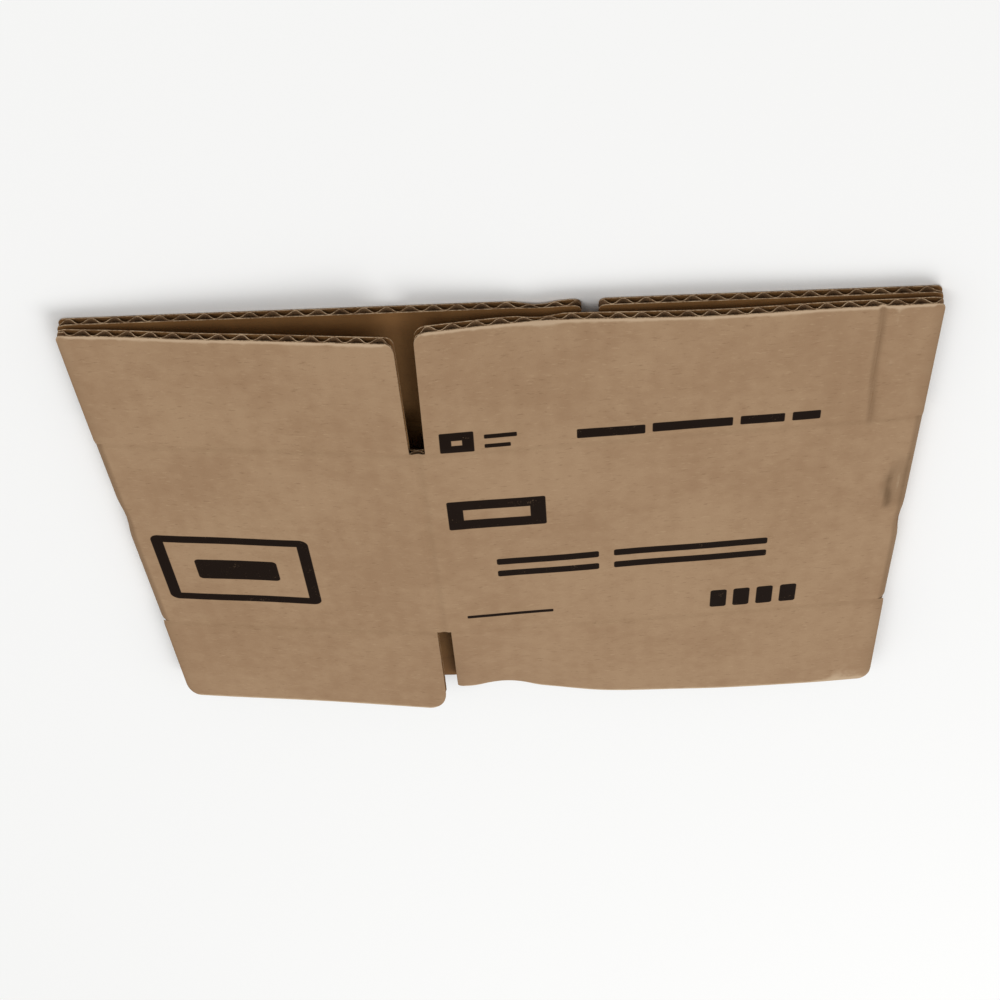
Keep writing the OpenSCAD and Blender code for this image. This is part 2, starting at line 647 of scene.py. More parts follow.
    def path(self, zone: Array, along: Array) -> Array:
        """Outer face of the folded board, seen along the flutes.

        Args:
            zone: Zone of each point.
            along: Place of each point along its zone.

        Returns:
            Rows of X, Z and the outward normal's X and Z.
        """
        near = 0.05
        z = 2.0 * self.board + self.layer_gap + self.front_profile(along)
        slope = (self.front_profile(along + near) - self.front_profile(along - near)) / (2.0 * near)
        size = np.sqrt(1.0 + slope * slope)
        flat = np.zeros_like(along)
        front = np.stack([along - self.fold_line, z, -slope / size, 1.0 / size])
        back = np.stack([self.fold_line - along, flat, flat, flat - 1.0])
        left = self.right_fold(self.fold_length - along) * np.array([[-1.0], [1.0], [-1.0], [1.0]])
        zones = [zone == kind for kind in (Zone.FRONT, Zone.RIGHT_FOLD, Zone.BACK)]
        return np.select(zones, [front, self.right_fold(along), back], left)

    def rounded(self, spots: Spots) -> tuple[Array, Array]:
        """Draw the points near a flap's cut corners in to a round corner.

        Args:
            spots: Points on the board.

        Returns:
            The moved places along the zone, and the moved heights.
        """
        half = self.slot / 2.0
        sides = (
            (-self.wing, -1.0), (self.corner - half, 1.0),
            (self.corner + half, -1.0), (self.run + self.wing, 1.0),
        )
        worn = {(corner.side, corner.end): (corner.across, corner.up) for corner in self.worn_corners}
        plain = (self.flap_corner, self.flap_corner)
        moved, lifted = spots.along.copy(), spots.y.copy()
        for side, (edge, way) in enumerate(sides):
            for end in (-1, 1):
                sizes = zip(worn.get((side, end), plain), plain)
                wide, tall = (np.where(spots.front, front, back) for front, back in sizes)
                across = 1.0 - (edge - spots.along) * way / wide
                up = 1.0 - (self.top - spots.y * end) / tall
                held = spots.layer & (np.minimum(across, up) > 0.0)
                held &= np.maximum(across, up) < 1.0 + NEAR
                p = across * np.sqrt(np.clip(1.0 - up * up / 2.0, 0.0, 1.0))
                q = up * np.sqrt(np.clip(1.0 - across * across / 2.0, 0.0, 1.0))
                moved = np.where(held, edge - way * wide * (1.0 - p), moved)
                lifted = np.where(held, end * (self.top - tall * (1.0 - q)), lifted)
        return moved, lifted

    def from_sides(self, along: Array) -> tuple[Array, Array]:
        """Distances of places along a layer from its flaps' folded sides and slot sides."""
        from_fold = np.minimum(along + self.wing, self.run + self.wing - along)
        return from_fold, np.abs(np.abs(along - self.corner) - self.slot / 2.0)

    def near_edge(self, spots: Spots, fade: float) -> Array:
        """Nearness to the nearest cut edge of a flap or panel.

        Args:
            spots: Points on the board.
            fade: Distance over which the nearness fades.

        Returns:
            Shares that fall from 1 at the edge.
        """
        tall = np.abs(spots.y)
        from_fold, from_slot = self.from_sides(spots.along)
        flap = np.minimum(np.minimum(self.top - tall, from_slot), from_fold)
        from_seam = np.abs(np.abs(spots.along - self.corner) - self.seam_gap / 2.0)
        panel = np.where(spots.zone == Zone.BACK, from_seam, np.inf)
        in_flap = tall > self.score - NEAR
        distance = np.where(in_flap, np.where(spots.layer, flap, self.fold_rim), panel)
        return np.exp(-np.clip(distance, 0.0, None) / fade)

    def scores(self, spots: Spots, reach: float) -> tuple[Array, Array]:
        """Shares of the flap scores and of the front corner score.

        Args:
            spots: Points on the board.
            reach: How far a score reaches, in half widths of its groove.

        Returns:
            Share of the flap scores, and of the corner score and its line on over the flaps.
        """
        half = reach * self.score_half
        corner = bump((spots.along - self.corner) / half)
        return bump((np.abs(spots.y) - self.score) / half), np.where(spots.front, corner, 0.0)

    def dents(self, x: Array, y: Array, reach: float) -> Array:
        """Share of the dents in the cut edges, which fades over a reach from the edge."""
        top = self.top_dent.shape(x) * np.exp(-(self.top - y) / reach)
        return top + self.bottom_dent.shape(x) * np.exp(-(self.top + y) / reach)

    def crushed(self, spots: Spots) -> Array:
        """Share of the crushed strip, which runs on round the start of the right fold.

        Args:
            spots: Points on the board.

        Returns:
            One share for each point.
        """
        front = self.strip.share(self.run - spots.along, spots.y)
        fold = self.strip.span.share(spots.y) * ease((self.board - spots.along) / self.board)
        return np.select([spots.front, spots.zone == Zone.RIGHT_FOLD], [front, fold], 0.0)

    def creased(self, spots: Spots) -> Array:
        """Share of the crease on the front."""
        return np.where(spots.front, self.crease.share(spots.along, spots.y), 0.0)

    def rubbed(self, spots: Spots) -> Array:
        """Share of the rubbed patches on the front, and of the band beside the crease."""
        patches = sum(patch.share(spots.along, spots.y) for patch in self.patches)
        return np.where(spots.front, patches + self.crease.rubbed(spots.along, spots.y), 0.0)

    def losses(self, spots: Spots, x: Array) -> tuple[Array, Array]:
        """How far the outer and the inner face are pressed into the board.

        Args:
            spots: Points on the board.
            x: X of each point.

        Returns:
            Depth pressed in from the outer face, and from the inner face.
        """
        reach, outer, inner = self.press_reach, self.outer_press, self.inner_press
        in_panel = np.abs(spots.y) < self.score + NEAR
        score, corner = self.scores(spots, reach.score)
        corner = corner * in_panel
        edge = self.near_edge(spots, reach.edge)
        from_fold = np.minimum(spots.along, self.run - spots.along)
        fold = np.where(spots.layer, ease(1.0 - from_fold / reach.fold) * in_panel, 1.0)
        dent = np.where(spots.layer, self.dents(x, spots.y, reach.dent), 0.0)
        rib = 0.5 - 0.5 * np.sin(self.phase(spots.along, spots.y))
        from_outside = (
            outer.score * score + outer.corner * corner + outer.edge * edge + outer.dent * dent
            + outer.rib * rib + outer.strip * self.crushed(spots) + outer.crease * self.creased(spots)
        )
        from_inside = (
            inner.score * score + inner.corner * corner + inner.edge * edge + inner.dent * dent
            + inner.fold * fold
        )
        return np.minimum(from_outside, outer.most), np.minimum(from_inside, inner.most)

    def phase(self, along: Array, y: Array) -> Array:
        """Phase of the flutes at a place on the board, with their slight wander."""
        return math.tau * (along + self.wander.at(along, y * self.wander_stretch)) / self.pitch

    def flap_lie(self, along: Array, upper: Array) -> tuple[Array, Array]:
        """How the front flaps' cut edges lie.

        Args:
            along: Places along the front.
            upper: Which of them are on the upper flaps.

        Returns:
            Offsets of the cut edges from their panels, and their lean along the front.
        """
        long = along >= self.corner
        share = np.abs(along - self.corner) / np.where(long, self.run - self.corner, self.corner)
        lies = (self.short_bottom, self.short_top, self.long_bottom, self.long_top)
        flap = 2 * long + upper
        offset = np.choose(flap, [lie.offset(share) for lie in lies])
        return offset, np.choose(flap, [lie.shift(share) for lie in lies])

    def place(self, spots: Spots, depth: Array) -> Array:
        """Where points of the board lie on the folded carton.

        Args:
            spots: Points on the board.
            depth: Depth of each point under the board's outer face.

        Returns:
            Positions, one row of X, Y and Z for each point.
        """
        across, y = self.rounded(spots)
        x, z, nx, nz = self.path(spots.zone, across)
        outer, inner = self.losses(spots, x)
        sunk = outer + depth * (self.board - outer - inner) / self.board
        past = np.clip(np.abs(y) - self.score, 0.0, None) / self.flap_length
        offset, lean = self.flap_lie(spots.along, y > 0.0)
        x = x - nx * sunk + np.where(spots.front, lean * past, 0.0)
        z = z - nz * sunk + np.where(spots.front, offset * past, 0.0)
        far = ease((self.fold_line - np.abs(x)) / self.sag_margin)
        sag = self.sag.at(x, y) * (self.sag_at_fold + (1.0 - self.sag_at_fold) * far)
        z = z + np.where(spots.front, sag, 0.0)
        y = y - np.where(spots.layer, self.top_dent.push(x, self.top - y), 0.0)
        y = y + np.where(spots.layer, self.bottom_dent.push(x, self.top + y), 0.0)
        edge = self.fold_line + self.board
        x = x + self.left_dent.push(y, edge + x)
        x = x - self.right_dent.push(y, edge - x)
        return np.stack([x, y, z], axis=1)

    def marks(self, spots: Spots) -> Array:
        """Sheet place, wear and painted shade of each point, for the finishes.

        Args:
            spots: Points on the board.

        Returns:
            One row of five numbers for each point.
        """
        rub, painted_shade = self.rubbing, self.painted_shading
        x, _, nx, _ = self.path(spots.zone, spots.along)
        tall = np.abs(spots.y)
        from_fold, from_slot = self.from_sides(spots.along)
        at_side = np.minimum(from_fold, from_slot) < rub.side_width
        wear = self.near_edge(spots, rub.edge_fade) * np.where(at_side, rub.side_share, 1.0)
        wear = wear + np.where(spots.front, rub.band * np.exp(-(self.top - tall) / rub.band_fade), 0.0)
        wear = wear + np.where(spots.layer, rub.dent * self.dents(x, spots.y, rub.dent_fade), 0.0)
        wear = np.clip(wear + rub.patch * self.rubbed(spots), 0.0, 1.0)
        score, corner = self.scores(spots, painted_shade.score_reach)
        line = np.where(spots.front, self.strip.line(self.run - spots.along, spots.y), 0.0)
        # Painted shade round the folds, a little lighter where the fold faces sideways.
        fold = np.where(spots.layer, 0.0, 1.0 - painted_shade.fold_light * np.abs(nx))
        in_flap = spots.layer & (tall > self.score)
        # Painted shade on the flaps beside their folded sides, carrying the fold's shade on.
        side = np.where(in_flap, np.exp(-np.clip(from_fold, 0.0, None) / painted_shade.side_fade), 0.0)
        # The crease mark sums painted shade: scores, corner score, strip line, folds, flap sides, crushed
        # strip and crease.
        crease = painted_shade.score * score + painted_shade.corner * corner * (tall < self.score) + painted_shade.line * line
        crease = crease + fold + painted_shade.side * side
        crease = crease + painted_shade.strip * self.crushed(spots) + painted_shade.crease * self.creased(spots)
        crease = np.clip(crease, 0.0, painted_shade.most)
        return np.stack([x, spots.y, np.where(spots.front, 1.0, 0.0), wear, crease], axis=1)

    def about_corner(self, start: float, offsets: tuple[float, ...]) -> list[float]:
        """Places on both sides of the corner, by their offsets from a start beside it."""
        return [self.corner + side * (start + off) for side in (-1, 1) for off in offsets]

    def stations(self, step: float, fine: list[float]) -> Array:
        """Places along one layer, from one wing's end to the other's.

        Args:
            step: Usual distance between places.
            fine: Further places that the columns must meet.

        Returns:
            Sorted places.
        """
        cuts = self.about_corner(0.0, (self.seam_gap / 2.0, self.slot / 2.0))
        fixed = {-self.wing, 0.0, self.run, self.run + self.wing, self.corner, *cuts, *fine}
        return spread(np.arange(0.0, self.run, step), fixed, step)

    def levels(self, step: float, by_score: tuple[float, ...], by_top: tuple[float, ...]) -> Array:
        """Heights of the rows, from the bottom cut edge to the top one.

        Args:
            step: Usual distance between rows.
            by_score: Further heights, up from a flap score.
            by_top: Further heights, down from a cut edge.

        Returns:
            Sorted heights, alike above and below the middle.
        """
        upper = {self.score, self.top}
        upper |= {self.score + off for off in by_score} | {self.top - off for off in by_top}
        regular = np.linspace(-self.top, self.top, round(2.0 * self.top / step) + 1)
        return spread(regular, {side * height for side in (-1, 1) for height in upper}, step)

    def grid(self, front: Array, back: Array, fold_parts: int, rows: Array) -> Grid:
        """Lay out one layer of the board.

        Args:
            front: Places along the front.
            back: Places along the back.
            fold_parts: Number of steps round a fold.
            rows: Heights of the rows.

        Returns:
            The grid, with panel cells all round and flap cells between the slots.
        """
        turns = np.linspace(0.0, self.fold_length, fold_parts + 1)[1:-1]
        parts = {Zone.FRONT: front, Zone.RIGHT_FOLD: turns, Zone.BACK: back, Zone.LEFT_FOLD: turns}
        zone = np.concatenate([np.full(len(places), int(kind)) for kind, places in parts.items()])
        along = np.concatenate(list(parts.values()))
        number = np.arange(len(along))
        in_fold = (zone == Zone.RIGHT_FOLD) | (zone == Zone.LEFT_FOLD)
        ring = number[in_fold | ((along > -NEAR) & (along < self.run + NEAR))]
        panel = np.stack([ring, np.roll(ring, -1)], axis=1)
        flap = np.stack([number[:-1], number[1:]], axis=1)
        panel_off, flap_off = (
            np.abs(along[pairs].mean(axis=1) - self.corner) for pairs in (panel, flap))
        in_seam = (zone[panel] == Zone.BACK).all(axis=1) & (panel_off < self.seam_gap / 2.0)
        panel = panel[~in_seam]
        flat = (zone[flap[:, 0]] == zone[flap[:, 1]]) & ~in_fold[flap[:, 0]]
        flap = flap[flat & (flap_off > self.slot / 2.0)]
        height = len(rows)
        cells = []
        for row, level in enumerate((rows[:-1] + rows[1:]) / 2.0):
            pairs = panel if abs(level) < self.score else flap
            first, second = pairs[:, 0] * height + row, pairs[:, 1] * height + row
            cells.append(np.stack([first, second, second + 1, first + 1], axis=1))
        return Grid(zone, along, rows, np.concatenate(cells))

    def chart_places(self, grid: Grid, charts: SideCharts) -> Array:
        """Pixels of the corners of a grid's cells on one side's charts.

        Args:
            grid: Layout of the sheet.
            charts: Charts of this side of the sheet.

        Returns:
            One pixel place for each corner of each cell.
        """
        column, row = np.divmod(grid.cells, len(grid.rows))
        zone, along, up = grid.zone[column], grid.along[column], grid.rows[row] + self.top
        right = (zone == Zone.RIGHT_FOLD).any(axis=1, keepdims=True)
        left = (zone == Zone.LEFT_FOLD).any(axis=1, keepdims=True)
        back = zone == Zone.BACK
        across = np.select(
            [back & right, back & left, zone == Zone.RIGHT_FOLD, zone == Zone.LEFT_FOLD],
            [self.run + self.fold_length, -self.fold_length, self.run + along, along - self.fold_length],
            along,
        ) + self.fold_length
        whole_back = back.all(axis=1)[:, None, None]
        return np.where(whole_back, charts.back.at(across, up), charts.front.at(across, up))

    def add_shell(self, name: str, grid: Grid, depths: tuple[Array, Array],
                  skins: tuple[Skin, Skin], charts: tuple[SideCharts, SideCharts]) -> None:
        """Add a closed sheet between two depths of the board.

        Args:
            name: Name of the sheet, for the log.
            grid: Layout of the sheet.
            depths: Depth of its outer and of its inner side at each grid point.
            skins: Skin of its outer and of its inner side.
            charts: Charts of its outer and of its inner side.
        """
        LOG.info("%s: %d columns, %d rows", name, len(grid.along), len(grid.rows))
        spots = grid.spots()
        marks = self.marks(spots)
        points = np.concatenate([self.place(spots, depth) for depth in depths])
        count = len(spots.along)
        outer, inner = (self.chart_places(grid, side) for side in charts)
        sides, side_places = rim_quads(grid.cells, outer, count)
        self.store.add(points, np.concatenate([marks, marks]), [
            (grid.cells, outer, skins[0]),
            (grid.cells[:, ::-1] + count, inner[:, ::-1], skins[1]),
            (sides, side_places, Skin.EDGE),
        ])

    def add_outer_liner(self) -> None:
        """Add the printed outer liner, with columns that follow the flutes."""
        at_slot = self.about_corner(self.slot / 2.0, (0.3, 0.9, 2.0))
        at_corner = self.about_corner(0.0, (0.5, 1.6, 2.1))
        at_wing = [-self.wing + off for off in (0.3, 0.9, 1.7, 4.0)]
        at_wing += [self.run + self.wing - off for off in (0.3, 0.9, 1.7)]
        at_strip = [self.run - off for off in (0.6, 1.3, 1.9, 2.6, 3.3, 4.2, 5.2)]
        at_crease = list(np.linspace(*self.crease.columns))
        front = self.stations(
            self.pitch / 4.0, at_slot + at_corner + at_wing + at_strip + at_crease)
        back = self.stations(self.pitch / 2.0, at_slot + at_wing)
        rows = self.levels(
            step=3.6, by_score=(-3.0, -2.0, -1.2, -0.6, 0.6, 1.2, 2.0, 3.0),
            by_top=(0.3, 0.8, 1.4, 2.0, 3.0, 4.0))
        grid = self.grid(front, back, fold_parts=9, rows=rows)
        outside = np.zeros(len(grid.along) * len(rows))
        self.add_shell("outer liner", grid, (outside, outside + self.liner),
                       (Skin.FACE, Skin.INSIDE), OUTER_CHARTS)

    def add_flutes(self) -> None:
        """Add the fluted medium between the liners."""
        rows = self.levels(step=30.0, by_score=(-2.5, -1.2, 1.2, 2.5), by_top=(0.8, 2.0, 5.0))
        places = self.stations(self.pitch / 10.0, [])
        grid = self.grid(places, places, fold_parts=11, rows=rows)
        spots = grid.spots()
        phase = self.phase(spots.along, spots.y)
        firm = self.crest_firmness
        reach = self.board / 2.0 - self.liner - self.medium_sunk * self.medium
        bent = np.tanh(firm * np.sin(phase))
        slope = firm * np.cos(phase) * (1.0 - bent ** 2) / math.tanh(firm)
        half = self.medium / 2.0 * np.sqrt(1.0 + (slope * reach * math.tau / self.pitch) ** 2)
        middle = self.board / 2.0 - reach * bent / math.tanh(firm)
        self.add_shell("fluted medium", grid, (middle - half, middle + half),
                       (Skin.FLUTE, Skin.FLUTE), FLUTE_CHARTS)

    def add_inner_liner(self) -> None:
        """Add the plain inner liner."""
        rows = self.levels(step=9.0, by_score=(-2.0, -1.0, 1.0, 2.0), by_top=(0.5, 1.2, 2.0))
        places = self.stations(self.pitch / 2.0, self.about_corner(self.slot / 2.0, (0.7, 2.0)))
        grid = self.grid(places, places, fold_parts=9, rows=rows)
        inside = np.full(len(grid.along) * len(rows), self.board)
        self.add_shell("inner liner", grid, (inside - self.liner, inside),
                       (Skin.INSIDE, Skin.INSIDE), INNER_CHARTS)

    def add_glue_tab(self) -> None:
        """Add the crushed tab that crosses the seam inside the carton."""
        seam = self.fold_line - self.corner
        root = self.seam_gap / 2.0 + self.board
        bevel = self.tab_width / 4.0
        half = self.score - self.tab_inset
        tip = self.tab_width - self.tab_tip
        across = np.array([-root, 0.0, self.tab_width / 2.0, tip, self.tab_width])
        reach = half - bevel * np.clip(across / self.tab_width, 0.0, 1.0)
        up = np.linspace(-1.0, 1.0, self.tab_rows)
        x = np.repeat(seam + across, len(up))
        y = (reach[:, None] * up[None, :]).ravel()
        low = np.full(len(x), self.board + self.tab_lift)
        points = np.concatenate([
            np.stack([x, y, z], axis=1) for z in (low + self.tab_thickness, low)])
        number = np.arange(len(x)).reshape(len(across), len(up))
        cells = np.stack([
            number[:-1, :-1], number[1:, :-1], number[1:, 1:], number[:-1, 1:]], axis=-1).reshape(-1, 4)
        places = [chart.at((x - seam + root)[cells], (y + half)[cells]) for chart in TAB_CHARTS]
        sides, side_places = rim_quads(cells, places[0], len(x))
        LOG.info("glue tab: %d columns, %d rows", len(across), len(up))
        self.store.add(points, np.zeros((2 * len(x), 5)), [
            (cells, places[0], Skin.INSIDE),
            (cells[:, ::-1] + len(x), places[1][:, ::-1], Skin.INSIDE),
            (sides, side_places, Skin.EDGE),
        ])

    def build(self) -> bpy.types.Object:
        """Build and dress the whole carton as one piece.

        Returns:
            The carton's object.
        """
        self.add_outer_liner()
        self.add_flutes()
        self.add_inner_liner()
        self.add_glue_tab()
        finishes = (PrintedKraft(pitch=self.pitch), PlainKraftWithPaintedShade(), RAW_EDGE, FLUTING)
        made = self.store.build("carton_board", [finish.build() for finish in finishes])
        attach(made, "root")
        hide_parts("flattened_box")
        return made


Operand = Any


class Val:
    """Shader value that Python's operators work on; each adds a Math node."""

    def __init__(self, shader: "Shader", socket: bpy.types.NodeSocket) -> None:
        """Wrap one output socket of a shader."""
        self.shader = shader
        self.socket = socket

    def __add__(self, other: Operand) -> "Val":
        """Sum."""
        return self.shader.math("ADD", self, other)

    __radd__ = __add__

    def __sub__(self, other: Operand) -> "Val":
        """Difference."""
        return self.shader.math("SUBTRACT", self, other)

    def __rsub__(self, other: Operand) -> "Val":
        """Difference, taken from a number."""
        return self.shader.math("SUBTRACT", other, self)

    def __mul__(self, other: Operand) -> "Val":
        """Product."""
        return self.shader.math("MULTIPLY", self, other)

    __rmul__ = __mul__

    def __abs__(self) -> "Val":
        """Size without sign."""
        return self.shader.math("ABSOLUTE", self)

    def most(self, other: Operand) -> "Val":
        """Larger of two values."""
        return self.shader.math("MAXIMUM", self, other)

    def least(self, other: Operand) -> "Val":
        """Smaller of two values."""
        return self.shader.math("MINIMUM", self, other)


class Shader:
    """Material under construction."""

    def __init__(self, name: str) -> None:
        """Start a material with an empty node tree.

        Args:
            name: Name of the material.
        """
        self.material = bpy.data.materials.new(name)
        self.material.use_nodes = True
        self.tree = self.material.node_tree
        self.tree.nodes.clear()

    def node(self, kind: str, settings: dict[str, Any] | None = None,
             sockets: dict[str | int, Any] | None = None) -> bpy.types.Node:
        """Add a node.

        Args:
            kind: Node type, without its ShaderNode prefix.
            settings: Properties of the node, set first.
            sockets: Values or links of its inputs, by name or number.

        Returns:
            The new node.
        """
        made = self.tree.nodes.new("ShaderNode" + kind)
        for name, value in (settings or {}).items():
            setattr(made, name, value)
        for name, value in (sockets or {}).items():
            target = made.inputs[name]
            if isinstance(value, Val):
                self.tree.links.new(value.socket, target)
            else:
                target.default_value = value
        return made

    def out(self, node: bpy.types.Node, name: str | int = 0) -> Val:
        """Wrap an output of a node."""
        return Val(self, node.outputs[name])

    def math(self, operation: str, *values: Operand) -> Val:
        """Add a Math node for an operation on values."""
        made = self.node("Math", {"operation": operation}, dict(enumerate(values)))
        return self.out(made)

    def attribute(self, name: str, output: str) -> Val:
        """Read a mark of the mesh."""
        return self.out(self.node("Attribute", {"attribute_name": name}), output)

    def place(self) -> Val:
        """Place on the object, in millimetres."""
        where = self.out(self.node("TexCoord"), "Object")
        return self.out(self.node("VectorMath", {"operation": "SCALE"}, {0: where, "Scale": 1.0 / MM}))

    def stretch(self, where: Val, turn: float, scale: Place) -> Val:
        """Turn and stretch a place about Z, for grain that has a direction."""
        made = self.node("Mapping", {"vector_type": "POINT"}, {
            "Vector": where, "Rotation": (0.0, 0.0, turn), "Scale": scale})
        return self.out(made)

    def noise(self, where: Val, size: float, detail: float = 2.0, rough: float = 0.5) -> Val:
        """Noise of about a size in millimetres, from 0 to 1."""
        made = self.node("TexNoise", {"noise_dimensions": "3D"}, {
            "Vector": where, "Scale": 1.0 / size, "Detail": detail, "Roughness": rough})
        return self.out(made, "Fac")

    def fade(self, value: Val, low: float, high: float) -> Val:
        """Smooth step from 0 at low to 1 at high."""
        made = self.node("MapRange", {"interpolation_type": "SMOOTHSTEP"}, {
            "Value": value, "From Min": low, "From Max": high, "To Min": 0.0, "To Max": 1.0})
        return self.out(made, "Result")

    def mix(self, share: Operand, first: Operand, second: Operand) -> Val:
        """Mix two colours.

        Args:
            share: Share of the second colour.
            first: Colour where the share is 0.
            second: Colour where the share is 1.

        Returns:
            The mixed colour.
        """
        def full(colour: Operand) -> Operand:
            """Add an alpha to a plain colour."""
            return colour if isinstance(colour, Val) else (*colour, 1.0)
        made = self.node("Mix", {"data_type": "RGBA", "blend_type": "MIX", "clamp_result": True}, {
            0: share, 6: full(first), 7: full(second)})
        return self.out(made, 2)

    def surface(self, colour: Operand, rough: Operand, height: Val | None, lift: float,
                specular: float = 0.22) -> bpy.types.Material:
        """Close the material with one Principled shader.

        Args:
            colour: Base colour.
            rough: Roughness.
            height: Relief for a Bump node, or None.
            lift: Height of the relief, in metres.
            specular: Specular level.

        Returns:
            The finished material.
        """
        sockets = {"Base Color": colour, "Roughness": rough, "Specular IOR Level": specular}
        if height is not None:
            relief = self.node("Bump", None, {"Strength": 1.0, "Distance": lift, "Height": height})
            sockets["Normal"] = self.out(relief)
        shader = self.node("BsdfPrincipled", None, sockets)
        self.node("OutputMaterial", None, {"Surface": self.out(shader)})
        return self.material


@dataclass(frozen=True)
class InkShape:
    """Plain printed rectangle on the front, filled or as an outline.

    Lengths are in millimetres, from the middle of the front.
    """

    x: float
    y: float
    width: float
    height: float
    round: float
    line: float = 0.0
    soft_inside: float = 0.12
    soft_outside: float = 0.18

    def mask(self, shader: Shader, across: Val, up: Val) -> Val:
        """Ink from 0 to 1 at a place on the front.

        Args:
            shader: Material that takes the shape.
            across: X of the place.
            up: Y of the place.

        Returns:
            Share of ink, with a soft rim.
        """
        over_x = abs(across - self.x) - (self.width / 2.0 - self.round)
        over_y = abs(up - self.y) - (self.height / 2.0 - self.round)
        outside_x, outside_y = over_x.most(0.0), over_y.most(0.0)
        reach = shader.math("SQRT", outside_x * outside_x + outside_y * outside_y)
        gap = reach + over_x.most(over_y).least(0.0) - self.round
        if self.line:
            gap = abs(gap + self.line / 2.0) - self.line / 2.0
        return 1.0 - shader.fade(gap, -self.soft_inside, self.soft_outside)


@dataclass(frozen=True)
class PrintedKraft:
    """Outer liner: brown kraft with fibres, worn edges, painted shade in the creases and round the folds,
    and plain black print.
    """

    pitch: float
    kraft: Colour = linear(167, 138, 108)
    shade: Colour = linear(154, 124, 95)
    pale: Colour = linear(186, 158, 126)
    fleck: Colour = linear(104, 77, 53)
    worn: Colour = linear(196, 171, 142)
    # Colour of the painted shade in the scores, creases, crushed strip and folds.
    painted_shade: Colour = linear(112, 88, 64)
    ink: Colour = linear(24, 12, 4)
    rough: float = 0.84
    rough_spread: float = 0.16
    relief: float = 0.00006
    specular: float = 0.07
    fibre_turn: float = 0.9
    fibre_stretch: Place = (0.4, 1.5, 1.0)
    pale_fibres: float = 0.45
    dark_fibres: float = 0.4
    grain_shade: float = 0.5
    rib_light: float = 0.05
    rub_cover: float = 0.8
    ink_gaps: float = 0.4
    ink_rubbed: float = 0.6
    ink_gloss: float = 0.06
    shapes: tuple[InkShape, ...] = (
        InkShape(-94.5, -16.5, 53.0, 40.0, 3.0, 4.0),
        InkShape(-94.5, -16.5, 28.0, 12.0, 1.6),
        InkShape(-14.6, 57.7, 10.5, 9.4, 0.5, 3.6),
        InkShape(-1.2, 59.6, 10.0, 1.8, 0.4),
        InkShape(-2.2, 55.4, 8.0, 1.8, 0.4),
        InkShape(-4.4, 19.1, 31.5, 15.6, 0.8, 5.0),
        InkShape(-3.1, -42.8, 29.8, 1.7, 0.4),
        *(InkShape(x, y, width, 4.0, 0.5) for x, y, width in (
            (32.4, 57.4, 20.8), (57.2, 57.8, 24.4), (78.4, 58.0, 13.4), (91.7, 58.1, 8.5))),
        *(InkShape(x, y, width, 3.6, 0.8)
          for x, width in ((11.0, 34.0), (58.5, 51.0)) for y in (-9.4, -16.6)),
        *(InkShape(x, -43.0, 5.6, 10.8, 1.0) for x in (69.0, 76.9, 84.9, 93.0)),
    )

    def build(self) -> bpy.types.Material:
        """Build the material.

        Returns:
            The finished material.
        """
        sh = Shader("printed_kraft")
        where = sh.place()
        marks = sh.node("SeparateXYZ", None, {0: sh.attribute(SHEET_ATTRIBUTE, "Vector")})
        across, up, front = (sh.out(marks, axis) for axis in range(3))
        wear = sh.attribute(WEAR_ATTRIBUTE, "Fac")
        # Painted shade mark, read from the mesh.
        crease = sh.attribute(PAINTED_SHADE_ATTRIBUTE, "Fac")
        cloud = sh.noise(where, size=38.0, detail=3.0)
        mottle = sh.noise(where, size=5.5, detail=4.0, rough=0.6)
        pale_fibre, dark_fibre = (
            sh.noise(sh.stretch(where, turn, self.fibre_stretch), size=1.2, detail=3.0, rough=0.6)
            for turn in (self.fibre_turn, -self.fibre_turn))
        grain = sh.noise(where, size=0.45, detail=2.0, rough=0.6)
        rib = sh.math("SINE", across * (math.tau / self.pitch))
        broad = sh.fade(cloud * 0.55 + mottle * 0.45, low=0.36, high=0.64)
        colour = sh.mix(broad, self.shade, self.kraft)
        colour = sh.mix(sh.fade(pale_fibre, low=0.58, high=0.74) * self.pale_fibres, colour, self.pale)
        colour = sh.mix(sh.fade(dark_fibre, low=0.58, high=0.74) * self.dark_fibres, colour, self.fleck)
        colour = sh.mix(grain * self.grain_shade, colour, self.shade)
        colour = sh.mix((rib * 0.5 + 0.5) * self.rib_light * front, colour, self.pale)
        # Painted shade: the crease mark darkens the scores, the creases, the crushed strip and the folds.
        colour = sh.mix(crease * (mottle * 0.6 + 0.2), colour, self.painted_shade)
        rubbed = sh.fade(wear * 1.25 + mottle * 0.9, low=0.9, high=1.5)
        colour = sh.mix(rubbed * self.rub_cover, colour, self.worn)
        print_mask = self.shapes[0].mask(sh, across, up)
        for shape in self.shapes[1:]:
            print_mask = print_mask.most(shape.mask(sh, across, up))
        cover = 1.0 - sh.fade(grain * 0.5 + mottle * 0.5, low=0.6, high=0.74) * self.ink_gaps
        inked = print_mask * front * cover * (1.0 - rubbed * self.ink_rubbed)
        colour = sh.mix(inked, colour, self.ink)
        rough = self.rough + (mottle - 0.5) * self.rough_spread - inked * self.ink_gloss
        height = grain * 0.5 + pale_fibre * 0.3 + dark_fibre * 0.2
        return sh.surface(colour, rough, height, self.relief, self.specular)


